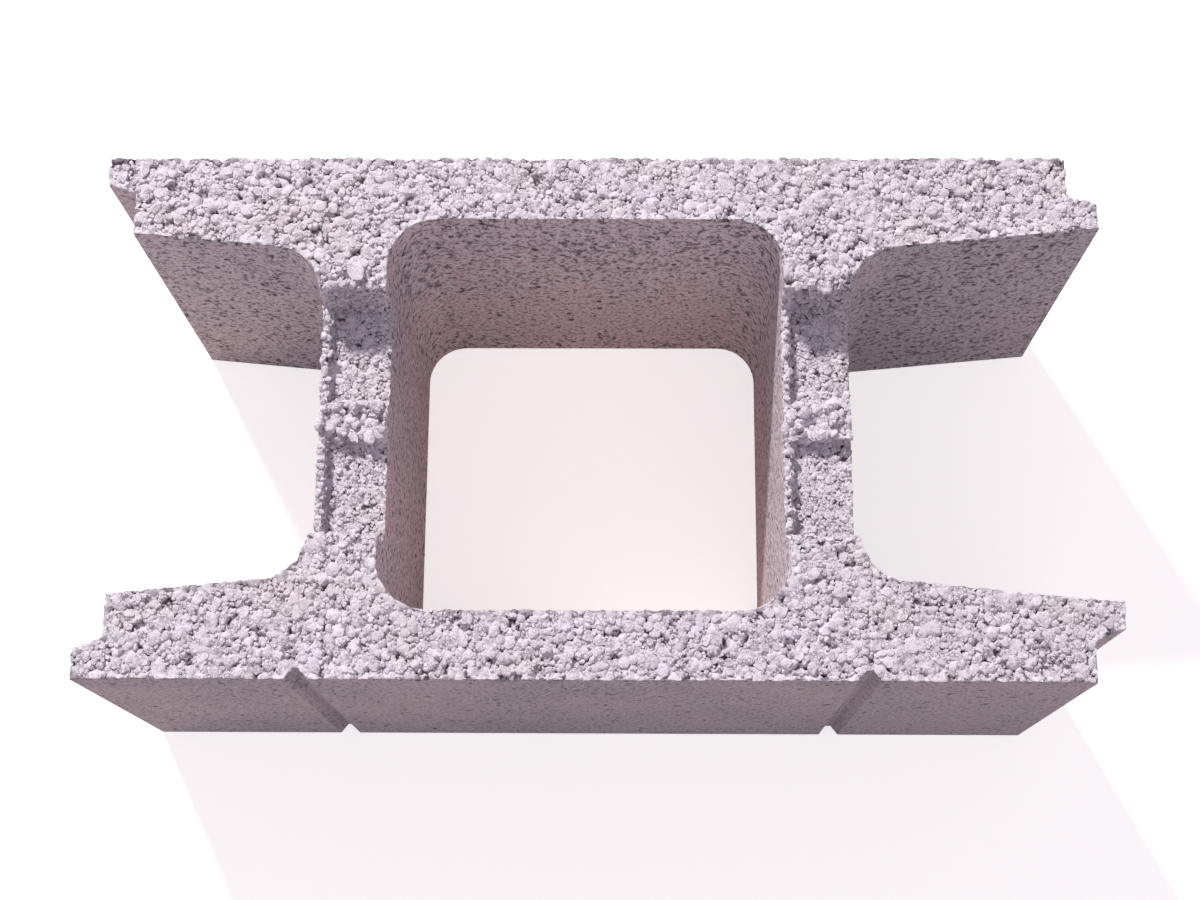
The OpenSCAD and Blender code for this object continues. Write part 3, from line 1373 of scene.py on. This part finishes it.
@dataclass
class LooseGrains(Grains):
    """Grains that lie loose in the saddles and along the lips, and the flat stone beside the left saddle."""

    name: str = "loose_grains"
    stone_half: tuple[float, float, float] = (8.6, 4.8, 3.4)
    stone_tamped: float = 0.5
    stone_under: float = 0.03
    rib_grains: int = 20
    rib_size: Pair = (1.6, 3.9)
    rib_reach: float = 8.5
    rib_inset: Pair = (2.0, 2.0)
    seat_grains: int = 14
    seat_size: Pair = (0.9, 2.4)
    seat_spread: Pair = (0.8, 1.2)
    seat_reach: Pair = (11.0, 48.0)
    seat_crowding: float = 1.3
    seat_inset: Pair = (5.0, 3.0)
    edge_grains: int = 9
    edge_size: Pair = (1.4, 2.9)
    edge_reach: Pair = (66.0, 68.5)
    edge_inset: Pair = (3.0, 2.0)
    lip_step: float = 3.4
    lip_size: Pair = (1.3, 2.2)
    lip_reach: Pair = (11.0, 61.0)
    lip_stray: tuple[Pair, Pair] = ((-0.5, 0.9), (-1.0, 1.0))
    spans: tuple[Pair, Pair, Pair] = ((0.85, 1.35), (0.8, 1.1), (0.6, 0.9))

    def plan(self) -> list[Grain]:
        """Chooses where the grains lie and how large they are.

        Returns:
            The grains to model.
        """
        draw = self.rng.uniform
        stone_top = PLACES.top_z - self.stone_under
        grains = [Grain(*PLACES.flat_stone, self.stone_half, self.stone_tamped, stone_top, tint=1.0)]
        near, further = self.seat_reach
        stray_x, stray_y = self.lip_stray
        for web in PLACES.webs_x:
            for _ in range(self.rib_grains):
                size = draw(*self.rib_size)
                x, y = self.across(web, self.rib_inset), draw(-self.rib_reach, self.rib_reach)
                grains.append(Grain(x, y, self.halves(size)))
            for side in (-1, 1):
                for _ in range(self.seat_grains):
                    size = draw(*self.seat_size) * draw(*self.seat_spread)
                    y = near + further * draw(0, 1) ** self.seat_crowding
                    grains.append(Grain(self.across(web, self.seat_inset), side * y, self.halves(size)))
                for _ in range(self.edge_grains):
                    size = draw(*self.edge_size)
                    x, y = self.across(web, self.edge_inset), draw(*self.edge_reach)
                    grains.append(Grain(x, side * y, self.halves(size)))
                for y in np.arange(*self.lip_reach, self.lip_step):
                    size = draw(*self.lip_size)
                    x = web[0] + PLACES.lip_t / 2 + draw(*stray_x)
                    grains.append(Grain(x, side * (y + draw(*stray_y)), self.halves(size)))
        return grains

    def across(self, web: Pair, inset: Pair) -> float:
        """Draws a place across a web, this far in from its two faces."""
        return self.rng.uniform(web[0] + inset[0], web[1] - inset[1])

    def halves(self, size: float) -> tuple[float, ...]:
        """Gives a flattish grain of this mean radius its half sizes."""
        return tuple(size * self.rng.uniform(*span) for span in self.spans)


@dataclass
class PackedGrains(Grains):
    """Packed grains of one part of the tamped top, each over its own rise in the casting."""

    packed: GrainField | None = None
    least_y: float = 0.0
    most_y: float = 0.0
    spread: Pair = (0.88, 1.22)
    flatness: Pair = (0.7, 0.95)
    tamping: Pair = (0.3, 0.6)
    top_clear: float = 0.06
    ground_near: float = 0.7
    edge_clear: float = 0.75
    edge_share: float = 0.8
    most_drop: float = 1.9

    def plan(self) -> list[Grain]:
        """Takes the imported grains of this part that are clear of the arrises.

        Returns:
            The grains to model.
        """
        draw = self.rng.uniform
        grains = []
        of = self.packed
        for (x, y, z), radius, level, tint in zip(of.centre[:of.count], of.radius, of.level, of.tint):
            half = tuple(radius * draw(*span) for span in (self.spread, self.spread, self.flatness))
            top = min(z + level, PLACES.top_z - self.top_clear)
            beside = self.below.find((x, y, 0.0))[2] > self.ground_near
            beside |= self.edge.find((x, y, 0.0))[2] < max(self.edge_clear, self.edge_share * max(half))
            if beside or not self.least_y < y < self.most_y or top - self.floor_under(x, y) > self.most_drop:
                continue
            grains.append(Grain(x, y, half, draw(*self.tamping), top, tint))
        return grains


# Studio


@dataclass
class Studio:
    """Floor, light and camera: the camera's place in millimetres, angles in degrees, the rest in metres."""

    spot: tuple[float, float, float] = (13.1, -280.9, 1118.4)
    pitch: float = 74.221
    yaw: float = -2.756
    roll: float = 2.52
    lens: float = 57.228
    sensor: float = 36.0
    clip: Pair = (0.02, 50.0)
    floor_size: float = 5.0
    aim_height: float = 0.15
    towards_key: tuple[float, float, float] = (-0.355, 0.67, 0.655)
    key_away: float = 5.0
    key_size: float = 0.45
    key_power: float = 266.0
    towards_fill: tuple[float, float, float] = (0.12, -0.72, 0.68)
    fill_away: float = 4.0
    fill_size: float = 2.6
    fill_power: float = 13.0
    sky: str = "#E5DEF0"
    sky_strength: float = 0.42

    def build(self) -> None:
        """Builds the floor, the lights and the camera."""
        self.lay_floor()
        self.light()
        self.aim()
        bpy.context.scene.view_settings.view_transform = "Standard"

    def lay_floor(self) -> None:
        """Lays a wide sheet of white paper under the block."""
        bpy.ops.object.select_all(action="DESELECT")
        bpy.ops.mesh.primitive_plane_add(size=self.floor_size, location=(0, 0, 0))
        floor = bpy.context.view_layer.objects.active
        floor.name = "paper_floor"
        floor.data.materials.append(PaleFloor().build())
        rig.stage(floor)

    def light(self) -> None:
        """Sets a soft key behind on the left, a broad weak fill in front and a pale sky all round."""
        for name, towards, away, size, power in (
            ("key_softbox", self.towards_key, self.key_away, self.key_size, self.key_power),
            ("fill_softbox", self.towards_fill, self.fill_away, self.fill_size, self.fill_power),
        ):
            way = Vector(towards).normalized()
            lamp = bpy.data.lights.new(name, "AREA")
            lamp.shape = "DISK"
            lamp.size = size
            lamp.energy = power
            box = bpy.data.objects.new(name, lamp)
            box.location = way * away + Vector((0, 0, self.aim_height))
            box.rotation_euler = way.to_track_quat("Z", "Y").to_euler()
            bpy.context.scene.collection.objects.link(box)

        world = bpy.data.worlds.new("pale_sky")
        add = node_adder(world)
        sky = add("Background", values={"Color": linear(self.sky), "Strength": self.sky_strength})
        white = add("Background", values={"Color": (1, 1, 1, 1), "Strength": 1.0})
        both = add("MixShader", {0: seen_rays(add), 1: sky.outputs[0], 2: white.outputs[0]})
        add("OutputWorld", {"Surface": both.outputs[0]})
        bpy.context.scene.world = world

    def aim(self) -> None:
        """Stands the camera where the photograph was taken from."""
        pitch, yaw, roll = (math.radians(a) for a in (self.pitch, self.yaw, self.roll))
        ahead = Vector((math.sin(yaw) * math.cos(pitch), math.cos(yaw) * math.cos(pitch), -math.sin(pitch)))
        right = Vector((math.cos(yaw), -math.sin(yaw), 0.0))
        down = ahead.cross(right)
        across = right * math.cos(roll) + down * math.sin(roll)
        below = down * math.cos(roll) - right * math.sin(roll)
        data = bpy.data.cameras.new("camera")
        data.sensor_fit = "HORIZONTAL"
        data.sensor_width = self.sensor
        data.lens = self.lens
        data.clip_start, data.clip_end = self.clip
        camera = bpy.data.objects.new("camera", data)
        turn = Matrix((across, -below, -ahead)).transposed()
        camera.matrix_world = Matrix.Translation(Vector(self.spot) * MM) @ turn.to_4x4()
        bpy.context.scene.collection.objects.link(camera)
        bpy.context.scene.camera = camera


def write_sizes() -> None:
    """Writes the solid's box and the dressed part's box for comparison."""
    with open(SIZE_FILE, "w") as out:
        json.dump({"cad": [list(c) for c in CAD_BOX], "visual": [list(c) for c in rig.bounds()]}, out)


def main() -> None:
    """Builds the pieces in order and reports each one."""
    logging.basicConfig(level=logging.INFO, format="%(name)s: %(message)s")
    Studio().build()
    casting = Casting()
    pieces = [casting.build()]
    shared = (casting.ground, casting.rim)
    pieces.append(LooseGrains(*shared).build())
    far_y, end_y = PLACES.half_plan[1], PLACES.saddle_y
    for packed in (
        PackedGrains(*shared, "bed_grains_front", 29, packed=casting.grains, least_y=-far_y, most_y=-end_y),
        PackedGrains(*shared, "web_grains", 30, gap_share=0.45, packed=casting.grains,
                     least_y=-end_y, most_y=end_y, spread=(0.95, 1.3)),
        PackedGrains(*shared, "bed_grains_back", 31, packed=casting.grains, least_y=end_y, most_y=far_y),
    ):
        pieces.append(packed.build())
    for piece in pieces:
        log.info("%s: %d faces", piece.name, len(piece.data.polygons))
    write_sizes()


if __name__ == "__main__":
    main()
